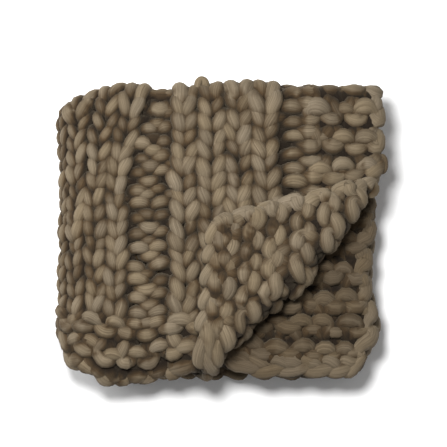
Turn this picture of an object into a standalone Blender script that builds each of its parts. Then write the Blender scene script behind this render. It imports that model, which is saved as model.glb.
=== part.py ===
"""A hand knitted throw, folded to a quarter of its size, with one corner of the top layer turned back.

The throw is one knitted cloth. It is modelled flat, as a grid whose lines follow its wales (columns of stitches)
and courses (rows of stitches), it is given its thickness, and then every point is carried through the folds.
The cloth is folded in half at the far edge (+Y), then in half again at the left (-X). From the top, the layers
are 1 and 4, the outer side of the first fold, and 2 and 3, its inner side, inside them.
"""

import math
from collections import namedtuple

import bmesh
import bpy
import numpy as np

# Cloth and layers, in metres
THICKNESS = 0.024
PITCH = 0.030
RIB_DEPTH = 0.004

# Panels of the cloth, from the right edge of the top layer round to the right edge of the bottom one.
# The lines column is how many grid lines each wale takes: ribs that show need two.
Panel = namedtuple("Panel", "stitch wales width lines")
PANELS = (
    Panel("garter", 3, 0.0383, 1),
    Panel("purl", 1, 0.0412, 1),
    Panel("knit", 4, 0.0386, 2),
    Panel("purl", 2, 0.0312, 1),
    Panel("knit", 8, 0.0277, 2),
    Panel("purl", 2, 0.0312, 1),
    Panel("knit", 4, 0.0386, 1),
    Panel("purl", 1, 0.0412, 1),
    Panel("garter", 3, 0.0383, 1),
)

# Bands of courses, from the hem of the outer side to the hem of the inner side
Band = namedtuple("Band", "stitch courses height")
BANDS = (Band("garter", 6, 0.0187), Band("panels", 30, 0.0220), Band("garter", 6, 0.0187))

# Right edges of the layers, and the left fold
RIGHT_TOP = 0.2340
RIGHT_SECOND = 0.2130
RIGHT_THIRD = 0.2160
RIGHT_BOTTOM = 0.2080
LEFT_END = -0.2360
SHOULDER_REACH = 0.060
INNER_GAP = 0.0040
CORNER_SET_BACK = 0.022
GATHER_LENGTH = 0.130
EVEN_FROM = 0.200

# Stations round the outer side, by how far they lie along it from the right edge of the top layer. A path over 0
# is a length, and one under 0 is an angle round the left fold in degrees, negated. The columns are the y where
# the far fold starts, the length of the body and of the border, where the hem starts to bend inwards and how
# much, in one over metres, and where the hem of the inner side ends.
Station = namedtuple("Station", "path far body border bend_from bend inner_end")
STATIONS = (
    Station(0.000, 0.1775, 0.3060, 0.1071, -0.160, 0.0, -0.182),
    Station(0.030, 0.1865, 0.3150, 0.1071, -0.160, 0.0, -0.201),
    Station(0.185, 0.1920, 0.3205, 0.1071, -0.160, 0.0, -0.200),
    Station(0.215, 0.1920, 0.3205, 0.1071, -0.160, 0.0, -0.190),
    Station(0.262, 0.1865, 0.3225, 0.1097, -0.147, 19.0, -0.150),
    Station(0.310, 0.1865, 0.3225, 0.1097, -0.147, 19.0, -0.148),
    Station(0.345, 0.1865, 0.3300, 0.1122, -0.160, 21.0, -0.158),
    Station(-1.0, 0.1865, 0.3300, 0.1122, -0.160, 21.0, -0.160),
    Station(-45.0, 0.1865, 0.3130, 0.0880, -0.150, 13.0, -0.145),
    Station(-90.0, 0.1865, 0.2850, 0.0480, -0.128, 7.0, -0.138),
    Station(-135.0, 0.1865, 0.2900, 0.0780, -0.128, 5.0, -0.145),
    Station(-180.0, 0.1865, 0.3050, 0.1060, -0.160, 0.0, -0.160),
    Station(0.850, 0.1865, 0.3050, 0.1060, -0.160, 0.0, -0.198),
    Station(0.940, 0.1865, 0.3050, 0.0980, -0.160, 0.0, -0.190),
)
STEEPEST = math.radians(82)
FLATTEST = 0.05

# The corner turned back over the top layer: the line where it starts to roll, how far the turned cloth draws in
# across the line and slides along it, how much its tip does less or more of each, in one over metres, and how far
# the middle of the roll bows outwards
TURN_FROM = (-0.0298, -0.1647)
TURN_TO = (0.1974, 0.0767)
TURN_DRAW = 0.735
TURN_SLIDE = 0.024
TIP_DRAW = 0.37
TIP_SLIDE = 0.60
TURN_BOW = 0.012
TURN_BOW_WIDTH = 0.070
TURN_LINES = 4
LINE_SNAP = 0.002
LINE_ROOM = 0.003

# How much lower the pile lies at its right and near edges, as a share of the height, and over what distance
SETTLE_RIGHT = 0.09
SETTLE_NEAR = 0.07
SETTLE_WIDTH = 0.110
SETTLE_EASE = SETTLE_WIDTH / 5
NEAR_END = -0.205

# How far the wales over the left fold lean to the right at the far edge, between which x, and from which y
FAR_LEAN = 0.026
LEAN_BETWEEN = (-0.240, -0.045)
LEAN_FROM = 0.070
LEAN_TO = 0.205

# How far past the outermost line of the left fold the face is still knitted, before it rests on the surface
KNITTED_PAST_FOLD = 0.04

WOOL_COLOUR = (0.235, 0.175, 0.115, 1.0)
WOOL_ROUGHNESS = 0.95

HALF = THICKNESS / 2
TURN_RADIUS = PITCH / 2
FOLD_MIDDLE = HALF + 1.5 * PITCH
SHOULDER_X = LEFT_END + HALF + SHOULDER_REACH
INNER_X = LEFT_END + HALF + THICKNESS + INNER_GAP + PITCH / 2
TOP_RUN = RIGHT_TOP - SHOULDER_X
BODY_LENGTH = sum(band.courses * band.height for band in BANDS if band.stitch == "panels") / 2
BORDER_LENGTH = BANDS[0].courses * BANDS[0].height
HALF_LENGTH = BODY_LENGTH + BORDER_LENGTH


def clear_scene():
    for obj in list(bpy.data.objects):
        bpy.data.objects.remove(obj, do_unlink=True)


def arc_table(reach, rise):
    """Angles down a half ellipse from its top, and the length of curve to each."""
    angles = np.linspace(0.0, math.pi, 721)
    speed = np.hypot(reach * np.cos(angles), rise * np.sin(angles))
    steps = (speed[1:] + speed[:-1]) / 2 * np.diff(angles)
    return angles, np.concatenate([[0.0], np.cumsum(steps)])


OUTER_ANGLES, OUTER_ARC = arc_table(SHOULDER_REACH, 1.5 * PITCH)
INNER_ANGLES, INNER_ARC = arc_table(PITCH / 2, PITCH / 2)
OUTER_HALF = TOP_RUN + OUTER_ARC[-1] / 2
INNER_HALF = RIGHT_SECOND - INNER_X + INNER_ARC[-1] / 2


def folded_line(path, run, centre_x, reach, rise, angles, arc):
    """A line seen from the front: left along the top, round a half ellipse and back to the right underneath.
    It gives the x and z of each point and of the direction that faces out of the fold."""
    angle = np.interp(path - run, arc, angles)
    x = centre_x - reach * np.sin(angle)
    x = x + np.clip(run - path, 0.0, None) + np.clip(path - run - arc[-1], 0.0, None)
    z = FOLD_MIDDLE + rise * np.cos(angle)
    out_x = -np.sin(angle) / reach
    out_z = np.cos(angle) / rise
    length = np.hypot(out_x, out_z)
    return x, z, out_x / length, out_z / length, angle


def outer_line(across):
    rest = OUTER_ARC[-1] / 2 + RIGHT_BOTTOM - SHOULDER_X
    beyond = np.clip(across - OUTER_HALF, 0.0, None)
    path = np.minimum(across, OUTER_HALF) + beyond * rest / (cloth_width() - OUTER_HALF)
    return folded_line(
        path, TOP_RUN, SHOULDER_X, SHOULDER_REACH, 1.5 * PITCH, OUTER_ANGLES, OUTER_ARC
    )


def inner_line(across):
    """The inner side lies straight under the outer one, except near its right edge and in the left fold, where
    its shorter line gathers the cloth."""
    rest = INNER_ARC[-1] / 2 + RIGHT_THIRD - INNER_X
    step_in = RIGHT_TOP - RIGHT_SECOND
    before = OUTER_HALF - GATHER_LENGTH
    after = OUTER_HALF + GATHER_LENGTH
    gathered = INNER_HALF - (before - step_in)
    places = [0.0, EVEN_FROM, before, OUTER_HALF, after, cloth_width()]
    paths = [0.0, EVEN_FROM - step_in, before - step_in, INNER_HALF, INNER_HALF + gathered, INNER_HALF + rest]
    path = np.interp(across, places, paths)
    run = RIGHT_SECOND - INNER_X
    return folded_line(path, run, INNER_X, PITCH / 2, PITCH / 2, INNER_ANGLES, INNER_ARC)


def cloth_width():
    return sum(panel.wales * panel.width for panel in PANELS)


def cloth_length():
    return sum(band.courses * band.height for band in BANDS)


def station_path(station):
    if station.path >= 0:
        return station.path
    length = np.interp(math.radians(-station.path), OUTER_ANGLES, OUTER_ARC)
    return TOP_RUN + length


def station_values(across):
    """The columns of the station table at these places, eased from one station to the next."""
    places = np.array([station_path(station) for station in STATIONS])
    after = np.clip(np.searchsorted(places, across), 1, len(places) - 1)
    part = np.clip((across - places[after - 1]) / (places[after] - places[after - 1]), 0.0, 1.0)
    part = part * part * (3 - 2 * part)
    values = []
    for name in Station._fields[1:]:
        column = np.array([getattr(station, name) for station in STATIONS])
        values.append(column[after - 1] * (1 - part) + column[after] * part)
    return values


def turn_corner(x, y):
    """Rolls the part beyond the turning line up and back. It gives the new x and y, and the height gained."""
    start = np.array(TURN_FROM)
    run = np.array(TURN_TO) - start
    run = run / np.linalg.norm(run)
    off = np.array([run[1], -run[0]])
    along = (x - start[0]) * run[0] + (y - start[1]) * run[1]
    beyond = (x - start[0]) * off[0] + (y - start[1]) * off[1]
    angle = np.clip(beyond / TURN_RADIUS, 0.0, math.pi)
    flat = np.clip(beyond - math.pi * TURN_RADIUS, 0.0, None)
    drawn = TURN_DRAW * flat - TIP_DRAW * flat**2
    across = np.where(beyond > 0, TURN_RADIUS * np.sin(angle) - drawn, beyond)
    along = along + TURN_SLIDE * flat - TIP_SLIDE * flat**2
    rise = TURN_RADIUS * (1 - np.cos(angle))
    share = np.clip(along / np.hypot(*(np.array(TURN_TO) - start)), 0.0, 1.0)
    near_fold = np.exp(-((across / TURN_BOW_WIDTH) ** 2))
    across = across + 4 * TURN_BOW * share * (1 - share) * near_fold
    return (
        start[0] + along * run[0] + across * off[0],
        start[1] + along * run[1] + across * off[1],
        rise,
    )


def bend_hem(y, rise, bend_from, bend):
    """Bends the hem inwards beyond the y given. It gives the new y and the height, along the outward direction."""
    curve = np.maximum(bend, FLATTEST)
    beyond = np.clip(bend_from - y, 0.0, None)
    angle = np.minimum(beyond * curve, STEEPEST)
    rest = beyond - angle / curve
    reach = (1 / curve + rise) * np.sin(angle) + rest * np.cos(angle)
    height = (1 / curve + rise) * np.cos(angle) - 1 / curve - rest * np.sin(angle)
    return np.where(beyond > 0, bend_from - reach, y), np.where(beyond > 0, height, rise)


def corner_share(angle):
    """How far the far fold is set back round the left fold, from 0 on the flat to 1 at its outermost line."""
    return np.sin(angle) ** 2


def settle(x, y, z):
    """The height of each point once the pile has sunk a little at its right and near edges."""
    right = 1 / (1 + np.exp(-(x - RIGHT_TOP + SETTLE_WIDTH / 2) / SETTLE_EASE))
    near = 1 / (1 + np.exp((y - NEAR_END - SETTLE_WIDTH / 2) / SETTLE_EASE))
    return z * (1 - SETTLE_RIGHT * right - SETTLE_NEAR * near)


def lean(x, y):
    """The x of each point once the wales over the left fold lean to the right at the far edge."""
    first, last = LEAN_BETWEEN
    place = np.clip((x - first) / (last - first), 0.0, 1.0)
    reach = np.clip((y - LEAN_FROM) / (LEAN_TO - LEAN_FROM), 0.0, 1.0)
    return x + FAR_LEAN * np.sin(math.pi * place) ** 2 * reach * reach * (3 - 2 * reach)


def middle_of_cloth(across, up):
    """Where the middle of the folded cloth lies, from a place on the flat cloth. Across is measured from the
    right edge of the top layer, and up from its hem."""
    far, body, border, _, _, inner_end = station_values(across)
    out_x, out_z, _, _, angle = outer_line(across)
    in_x, in_z, _, _, _ = inner_line(across)
    far = far - CORNER_SET_BACK * corner_share(angle)
    slant = CORNER_SET_BACK * np.abs(np.sin(2 * angle)) / SHOULDER_REACH
    radius = np.hypot(out_x - in_x, out_z - in_z) / 2
    arc = math.pi / 2 * radius
    from_fold = HALF_LENGTH - up
    outer = from_fold > 0
    length = np.abs(from_fold)
    natural = np.minimum(length, BODY_LENGTH) / BODY_LENGTH * body
    natural = natural + np.clip(length - BODY_LENGTH, 0.0, None) / BORDER_LENGTH * border
    inner_scale = (arc + far - inner_end) / HALF_LENGTH
    length = np.where(outer, natural, length * inner_scale)

    # Inside the far fold, both sides meet round a half circle
    turn = np.clip(length / arc, 0.0, 1.0) * math.pi / 2
    side = np.where(outer, 1.0, -1.0) * np.sin(turn)
    fold_x = (out_x + in_x) / 2 + side * (out_x - in_x) / 2
    fold_z = (out_z + in_z) / 2 + side * (out_z - in_z) / 2
    y = far + radius * np.hypot(1.0, slant) * np.cos(turn) - np.clip(length - arc, 0.0, None)

    # The outer side turns its corner back, and bends its hem inwards
    top = outer & (across < TOP_RUN) & (length >= arc)
    turned_x, turned_y, rise = turn_corner(out_x, y)
    x_flat = np.where(top, turned_x, out_x)
    y_flat = np.where(top, turned_y, y)
    rise = np.where(top, rise, 0.0)
    place = np.where(top, RIGHT_TOP - x_flat, across)
    _, _, _, bend_from, bend, _ = station_values(place)
    line_x, line_z, facing_x, facing_z, _ = outer_line(place)
    y_bent, height = bend_hem(y_flat, rise, bend_from, bend)
    laid = outer & (length >= arc)
    x = np.where(laid, line_x + facing_x * height, fold_x)
    z = np.where(laid, line_z + facing_z * height, fold_z)
    y = np.where(laid, y_bent, y)
    return np.stack([x, y, z], axis=-1)


def face_direction(across, up):
    step = 1e-4
    by_across = middle_of_cloth(across + step, up) - middle_of_cloth(across - step, up)
    by_up = middle_of_cloth(across, up + step) - middle_of_cloth(across, up - step)
    out = np.cross(by_up, by_across)
    return out / np.linalg.norm(out, axis=-1, keepdims=True)


def wale_lines():
    """Where the grid's lines lie across the cloth."""
    lines = [0.0]
    for panel in PANELS:
        for _ in range(panel.wales * panel.lines):
            lines.append(lines[-1] + panel.width / panel.lines)
    return np.array(lines)


def course_lines():
    """Where the grid's lines lie up the cloth, closer together in the far fold."""
    lines = [0.0]
    for band in BANDS:
        for _ in range(band.courses):
            lines.append(lines[-1] + band.height)
    fold = HALF_LENGTH + math.pi / 4 * PITCH * np.array([-1.0, -0.5, 0.0, 0.5, 1.0])
    clear = [line for line in lines if abs(line - HALF_LENGTH) > math.pi / 4 * PITCH + LINE_ROOM]
    return np.sort(np.concatenate([clear, fold]))


def relief(across, up, on_face):
    """How deep the knitting is sunk at each point. Wales of knit stitches stand as ribs, wales of purl stitches
    lie sunk between them, and it is the other way round on the back. Garter stitch makes a ridge every second
    course, on both sides."""
    sunk = np.zeros_like(across)
    start = 0.0
    for panel in PANELS:
        end = start + panel.wales * panel.width
        here = (across > start - 1e-6) & (across <= end + 1e-6)
        if panel.stitch != "garter":
            ribbed = on_face if panel.stitch == "knit" else ~on_face
            wave = 0.5 + 0.5 * np.cos(2 * math.pi * (across - start) / panel.width)
            depth = wave if panel.lines == 2 else np.zeros_like(across)
            sunk = np.where(here, np.where(ribbed, depth, 1.0), sunk)
        else:
            sunk = np.where(here, ridge(up), sunk)
        start = end
    border = (up < BORDER_LENGTH + 1e-6) | (up > cloth_length() - BORDER_LENGTH - 1e-6)
    sunk = np.where(border, ridge(up), sunk)
    rests = on_face & (across > OUTER_HALF + KNITTED_PAST_FOLD)
    return RIB_DEPTH * np.where(rests, 0.0, sunk)


def ridge(up):
    """0 on the crest of a garter ridge and 1 between two of them."""
    counts = [0]
    heights = [0.0]
    for band in BANDS:
        counts.append(counts[-1] + band.courses)
        heights.append(heights[-1] + band.courses * band.height)
    return 0.5 - 0.5 * np.cos(math.pi * np.interp(up, heights, counts))


def flat_cloth():
    """The cloth laid flat, thickened, as a mesh whose x and y are measured from its corner."""
    across = wale_lines()
    up = course_lines()
    cloth = bmesh.new()
    bmesh.ops.create_grid(
        cloth, x_segments=len(across) - 1, y_segments=len(up) - 1, size=0.5
    )
    for vert in cloth.verts:
        column = round((vert.co.x + 0.5) * (len(across) - 1))
        row = round((vert.co.y + 0.5) * (len(up) - 1))
        vert.co = (across[column], up[row], 0.0)
    add_turn_lines(cloth)
    mesh = bpy.data.meshes.new("flat_cloth")
    cloth.to_mesh(mesh)
    cloth.free()
    flat = bpy.data.objects.new("flat_cloth", mesh)
    bpy.context.scene.collection.objects.link(flat)
    thicken = flat.modifiers.new("Thickness", "SOLIDIFY")
    thicken.thickness = THICKNESS
    thicken.offset = 0.0
    bpy.context.view_layer.update()
    shaped = flat.evaluated_get(bpy.context.evaluated_depsgraph_get())
    solid = bpy.data.meshes.new_from_object(shaped)
    bpy.data.objects.remove(flat, do_unlink=True)
    return solid


def flat_place(x, y):
    """The place on the flat cloth of a point on the top layer before its corner is turned back."""
    across = RIGHT_TOP - x
    far, body, border, _, _, _ = station_values(across)
    laid = far + math.pi / 4 * PITCH - y
    length = min(laid, body) / body * BODY_LENGTH + max(laid - body, 0.0) / border * BORDER_LENGTH
    return np.array([across, HALF_LENGTH - length])


def add_turn_lines(cloth):
    """Cuts lines across the corner that is turned back, for the roll to bend along."""
    start = flat_place(*TURN_FROM)
    end = flat_place(*TURN_TO)
    run = (end - start) / np.linalg.norm(end - start)
    off = np.array([-run[1], run[0]])
    for line in range(TURN_LINES + 1):
        place = start + off * math.pi * TURN_RADIUS * line / TURN_LINES
        faces = [
            face
            for face in cloth.faces
            if face.calc_center_median().x < TOP_RUN and face.calc_center_median().y < BODY_LENGTH
        ]
        edges = {edge for face in faces for edge in face.edges}
        verts = {vert for face in faces for vert in face.verts}
        bmesh.ops.bisect_plane(
            cloth,
            geom=list(verts) + list(edges) + faces,
            dist=LINE_SNAP,
            plane_co=(place[0], place[1], 0.0),
            plane_no=(off[0], off[1], 0.0),
        )


def fold_cloth(mesh):
    points = np.empty(len(mesh.vertices) * 3)
    mesh.vertices.foreach_get("co", points)
    across, up, level = points.reshape(-1, 3).T
    on_face = level > 0
    depth = np.abs(level) - relief(across, up, on_face)
    offset = np.where(on_face, depth, -depth)
    folded = middle_of_cloth(across, up) + offset[:, None] * face_direction(across, up)
    folded[:, 2] = settle(*folded.T)
    folded[:, 0] = lean(folded[:, 0], folded[:, 1])
    folded[np.abs(folded[:, 2]) < 1e-5, 2] = 0.0
    low, high = folded.min(axis=0), folded.max(axis=0)
    folded -= np.array([(low[0] + high[0]) / 2, (low[1] + high[1]) / 2, 0.0])
    mesh.vertices.foreach_set("co", folded.ravel())
    mesh.update()


def face_outwards(mesh):
    shape = bmesh.new()
    shape.from_mesh(mesh)
    bmesh.ops.recalc_face_normals(shape, faces=shape.faces)
    shape.to_mesh(mesh)
    shape.free()


def wool_material():
    material = bpy.data.materials.new("wool")
    material.use_nodes = True
    shader = material.node_tree.nodes["Principled BSDF"]
    shader.inputs["Base Color"].default_value = WOOL_COLOUR
    shader.inputs["Roughness"].default_value = WOOL_ROUGHNESS
    shader.inputs["Metallic"].default_value = 0.0
    return material


def build():
    clear_scene()
    throw = bpy.data.collections.new("Hand knitted throw")
    bpy.context.scene.collection.children.link(throw)
    mesh = flat_cloth()
    fold_cloth(mesh)
    face_outwards(mesh)
    mesh.name = "knit_throw"
    mesh.materials.append(wool_material())
    mesh.shade_smooth()
    throw.objects.link(bpy.data.objects.new("knit_throw", mesh))


build()
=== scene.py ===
import math

import bpy
import numpy as np
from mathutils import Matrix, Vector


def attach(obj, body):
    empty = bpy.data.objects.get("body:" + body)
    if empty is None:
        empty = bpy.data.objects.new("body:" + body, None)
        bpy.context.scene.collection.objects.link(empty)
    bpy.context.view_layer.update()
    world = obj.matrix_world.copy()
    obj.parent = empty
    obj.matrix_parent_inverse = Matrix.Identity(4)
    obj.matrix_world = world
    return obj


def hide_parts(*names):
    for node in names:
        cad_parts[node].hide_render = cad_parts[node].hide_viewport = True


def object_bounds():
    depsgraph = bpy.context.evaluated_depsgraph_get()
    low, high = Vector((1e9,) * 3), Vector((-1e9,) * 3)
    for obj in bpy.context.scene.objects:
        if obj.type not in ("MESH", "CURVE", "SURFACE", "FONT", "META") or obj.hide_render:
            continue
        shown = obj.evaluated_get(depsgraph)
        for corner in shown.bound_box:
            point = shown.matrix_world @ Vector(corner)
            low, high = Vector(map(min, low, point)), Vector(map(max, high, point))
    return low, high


# A hand knitted throw, folded to a quarter, with one corner of the top layer turned back. Its yarn is worked course
# by course on the flat cloth, in a few long runs, and carried through the same folds as the CAD cloth.

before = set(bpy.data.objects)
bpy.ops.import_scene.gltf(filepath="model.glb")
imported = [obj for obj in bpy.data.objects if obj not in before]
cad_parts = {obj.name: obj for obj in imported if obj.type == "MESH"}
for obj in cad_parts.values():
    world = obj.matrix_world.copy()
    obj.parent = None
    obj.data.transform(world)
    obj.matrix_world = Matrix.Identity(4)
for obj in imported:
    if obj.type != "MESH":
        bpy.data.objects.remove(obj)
frameLow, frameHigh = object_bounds()


# The rows of a table with named columns
def rowsOf(table, *columns):
    return list(zip(*[table[column] for column in columns]))


# 0 up to the first limit and 1 from the second on, eased between them by 3s^2 - 2s^3
def easedShare(value, limits):
    share = np.clip((value - limits[0]) / (limits[1] - limits[0]), 0.0, 1.0)
    return share * share * (3 - 2 * share)


# The flat cloth: panels of wales from the right edge of the top layer, and bands of courses from its hem
panels = {
    "stitch": ["garter", "purl", "knit", "purl", "knit", "purl", "knit", "purl", "garter"],
    "wales": [3, 1, 4, 2, 8, 2, 4, 1, 3],
    "width": [0.0383, 0.0412, 0.0386, 0.0312, 0.0277, 0.0312, 0.0386, 0.0412, 0.0383],
    "yarn": [0.0090, 0.0090, 0.0094, 0.0082, 0.0077, 0.0082, 0.0094, 0.0090, 0.0090],
    "sink": [0.001, 0.004, 0.0, 0.0055, 0.0, 0.0055, 0.0, 0.004, 0.001],
}
bands = {"stitch": ["garter", "panels", "garter"], "courses": [6, 30, 6], "height": [0.0187, 0.0220, 0.0187]}

# The folds, in metres, as in the CAD cloth
folds = {
    "pitch": 0.030,
    "halfCloth": 0.012,
    "rightTop": 0.2340,
    "rightSecond": 0.2130,
    "rightThird": 0.2160,
    "rightBottom": 0.2080,
    "leftEnd": -0.2360,
    "boxLeft": -0.23586,
    "boxFar": 0.2190,
    "shoulderReach": 0.060,
    "innerGap": 0.0040,
    "cornerSetBack": 0.022,
    "gatherLength": 0.130,
    "evenFrom": 0.200,
    "steepest": math.radians(82),
    "leastBend": 0.05,      # a curvature that counts as straight
    "arcSteps": 720,        # steps of the tables that measure the folds' curves
}

# Stations round the outer side: metres from the right edge, or degrees round the left fold where the angle is set
stations = {
    "path": [0.0, 0.030, 0.185, 0.215, 0.262, 0.310, 0.345, 0, 0, 0, 0, 0, 0.850, 0.940],
    "angle": [0, 0, 0, 0, 0, 0, 0, 1, 45, 90, 135, 180, 0, 0],
    "far": [0.1775, 0.1865, 0.1920, 0.1920] + [0.1865] * 10,
    "body": [0.306, 0.315, 0.3205, 0.3205, 0.3225, 0.3225, 0.330, 0.330, 0.313, 0.285, 0.290, 0.305, 0.305, 0.305],
    "border": [0.1071, 0.1071, 0.1071, 0.1071, 0.1097, 0.1097, 0.1122, 0.1122, 0.0880, 0.0480, 0.0780,
               0.1060, 0.1060, 0.0980],
    "bendFrom": [-0.160] * 4 + [-0.147, -0.147, -0.160, -0.160, -0.150, -0.128, -0.128, -0.160, -0.160, -0.160],
    "bend": [0, 0, 0, 0, 19.0, 19.0, 21.0, 21.0, 13.0, 7.0, 5.0, 0, 0, 0],
    "innerEnd": [-0.182, -0.201, -0.200, -0.190, -0.150, -0.148, -0.158, -0.160, -0.145, -0.138, -0.145,
                 -0.160, -0.198, -0.190],
}

# The corner that is turned back
turn = {
    "start": (-0.0298, -0.1647),   # the turning line, from the hem to the right edge
    "end": (0.1974, 0.0767),
    "radius": 0.015,
    "draw": 0.735,                 # how much of its length the flat part keeps across the line
    "slide": 0.024,                # how far it slides along the line, for each metre beyond it
    "tipDraw": 0.37,               # the square terms of both, which move the tip
    "tipSlide": 0.60,
    "bow": 0.012,                  # how far the turning line bows out, and how wide that is
    "bowWidth": 0.070,
}
# How the pile settles towards two edges, and how the wales over the left fold lean
settling = {"right": 0.09, "near": 0.07, "width": 0.110, "steepness": 5, "nearEnd": -0.205}
leaning = {"reach": 0.026, "first": -0.240, "last": -0.045, "from": 0.070, "to": 0.205}
# The far left corner is a little fuller than its fold, and the top layer draws in beside the turned corner
edgeMoves = {
    "place": [(-0.2302, 0.1600), (0.2370, 0.0560)],
    "out": [(-0.0065, 0.0060), (-0.0110, 0.0)],
    "width": [0.041, 0.042],
    "above": [-1.0, 0.086],        # the height from which each moves, and how softly it starts
    "ease": 0.01,
}
# The right edge of the lower layers stands out at two places and draws in near the hem
sway = {
    "place": [-0.190, -0.128, 0.030],
    "out": [-0.012, 0.011, 0.010],
    "width": [0.030, 0.030, 0.034],
    "across": [0.140, 0.205],      # it starts at the first x and is full at the second
    "under": [0.086, 0.096],       # it is full up to the first height and ends at the second
}

clothWidth = sum(n * w for n, w in rowsOf(panels, "wales", "width"))
clothLength = sum(n * h for n, h in rowsOf(bands, "courses", "height"))
sideBand = panels["wales"][0] * panels["width"][0]
bodyLength = bands["courses"][1] * bands["height"][1] / 2
borderLength = bands["courses"][0] * bands["height"][0]
halfLength = bodyLength + borderLength
foldMiddle = folds["halfCloth"] + 1.5 * folds["pitch"]
shoulderX = folds["leftEnd"] + folds["halfCloth"] + folds["shoulderReach"]
innerX = folds["leftEnd"] + 3 * folds["halfCloth"] + folds["innerGap"] + folds["pitch"] / 2
topRun = folds["rightTop"] - shoulderX


# Length of curve down a half ellipse from its top: the running sum of the speed, by the trapezium rule
def arcTable(reach, rise):
    angles = np.linspace(0.0, math.pi, folds["arcSteps"] + 1)
    speed = np.hypot(reach * np.cos(angles), rise * np.sin(angles))
    steps = (speed[1:] + speed[:-1]) / 2 * np.diff(angles)
    return angles, np.concatenate([[0.0], np.cumsum(steps)])


outerAngles, outerArc = arcTable(folds["shoulderReach"], 1.5 * folds["pitch"])
innerAngles, innerArc = arcTable(folds["pitch"] / 2, folds["pitch"] / 2)
outerHalf = topRun + outerArc[-1] / 2
innerHalf = folds["rightSecond"] - innerX + innerArc[-1] / 2


# Left along the top, round a half ellipse and back underneath: x falls with the path, then follows minus sine and
# z cosine of the ellipse's angle, then x rises. The outward direction is the ellipse's normal.
def foldedLine(path, run, centreX, reach, rise, angles, arc):
    angle = np.interp(path - run, arc, angles)
    x = centreX - reach * np.sin(angle)
    x = x + np.clip(run - path, 0.0, None) + np.clip(path - run - arc[-1], 0.0, None)
    z = foldMiddle + rise * np.cos(angle)
    outX = -np.sin(angle) / reach
    outZ = np.cos(angle) / rise
    length = np.hypot(outX, outZ)
    return x, z, outX / length, outZ / length, angle


# The outer side's line: its second half is drawn in evenly to the length left for it
def outerLine(across):
    rest = outerArc[-1] / 2 + folds["rightBottom"] - shoulderX
    beyond = np.clip(across - outerHalf, 0.0, None)
    path = np.minimum(across, outerHalf) + beyond * rest / (clothWidth - outerHalf)
    rise = 1.5 * folds["pitch"]
    return foldedLine(path, topRun, shoulderX, folds["shoulderReach"], rise, outerAngles, outerArc)


# The inner side's line: straight under the outer one but for its right edge and the left fold
def innerLine(across):
    rest = innerArc[-1] / 2 + folds["rightThird"] - innerX
    stepIn = folds["rightTop"] - folds["rightSecond"]
    even = folds["evenFrom"]
    before = outerHalf - folds["gatherLength"]
    gathered = innerHalf - (before - stepIn)
    places = [0.0, even, before, outerHalf, outerHalf + folds["gatherLength"], clothWidth]
    paths = [0.0, even - stepIn, before - stepIn, innerHalf, innerHalf + gathered, innerHalf + rest]
    path = np.interp(across, places, paths)
    small = folds["pitch"] / 2
    return foldedLine(path, folds["rightSecond"] - innerX, innerX, small, small, innerAngles, innerArc)


# The station table's columns at each place, eased between stations
def stationValues(across):
    onFold = topRun + np.interp(np.radians(stations["angle"]), outerAngles, outerArc)
    places = np.where(np.array(stations["angle"]) > 0, onFold, stations["path"])
    after = np.clip(np.searchsorted(places, across), 1, len(places) - 1)
    part = easedShare(across, [places[after - 1], places[after]])
    values = {}
    for name in ("far", "body", "border", "bendFrom", "bend", "innerEnd"):
        column = np.array(stations[name])
        values[name] = column[after - 1] * (1 - part) + column[after] * part
    return values


# Rolls what lies beyond the turning line up round a half circle and lays it back, drawn in across the line and
# slid along it, with a square term of each for the tip
def turnCorner(x, y):
    start = np.array(turn["start"])
    run = np.array(turn["end"]) - start
    reach = np.linalg.norm(run)
    run = run / reach
    off = np.array([run[1], -run[0]])
    along = (x - start[0]) * run[0] + (y - start[1]) * run[1]
    beyond = (x - start[0]) * off[0] + (y - start[1]) * off[1]
    angle = np.clip(beyond / turn["radius"], 0.0, math.pi)
    flat = np.clip(beyond - math.pi * turn["radius"], 0.0, None)
    drawn = turn["draw"] * flat - turn["tipDraw"] * flat ** 2
    across = np.where(beyond > 0, turn["radius"] * np.sin(angle) - drawn, beyond)
    along = along + turn["slide"] * flat - turn["tipSlide"] * flat ** 2
    rise = turn["radius"] * (1 - np.cos(angle))
    share = np.clip(along / reach, 0.0, 1.0)
    nearFold = np.exp(-((across / turn["bowWidth"]) ** 2))
    across = across + 4 * turn["bow"] * share * (1 - share) * nearFold
    newX = start[0] + along * run[0] + across * off[0]
    newY = start[1] + along * run[1] + across * off[1]
    return newX, newY, rise


# Bends the hem inwards beyond a line, round an arc of the curvature given and then straight on
def bendHem(y, rise, bendFrom, bend):
    curve = np.maximum(bend, folds["leastBend"])
    beyond = np.clip(bendFrom - y, 0.0, None)
    angle = np.minimum(beyond * curve, folds["steepest"])
    rest = beyond - angle / curve
    reach = (1 / curve + rise) * np.sin(angle) + rest * np.cos(angle)
    height = (1 / curve + rise) * np.cos(angle) - 1 / curve - rest * np.sin(angle)
    return np.where(beyond > 0, bendFrom - reach, y), np.where(beyond > 0, height, rise)


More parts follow.
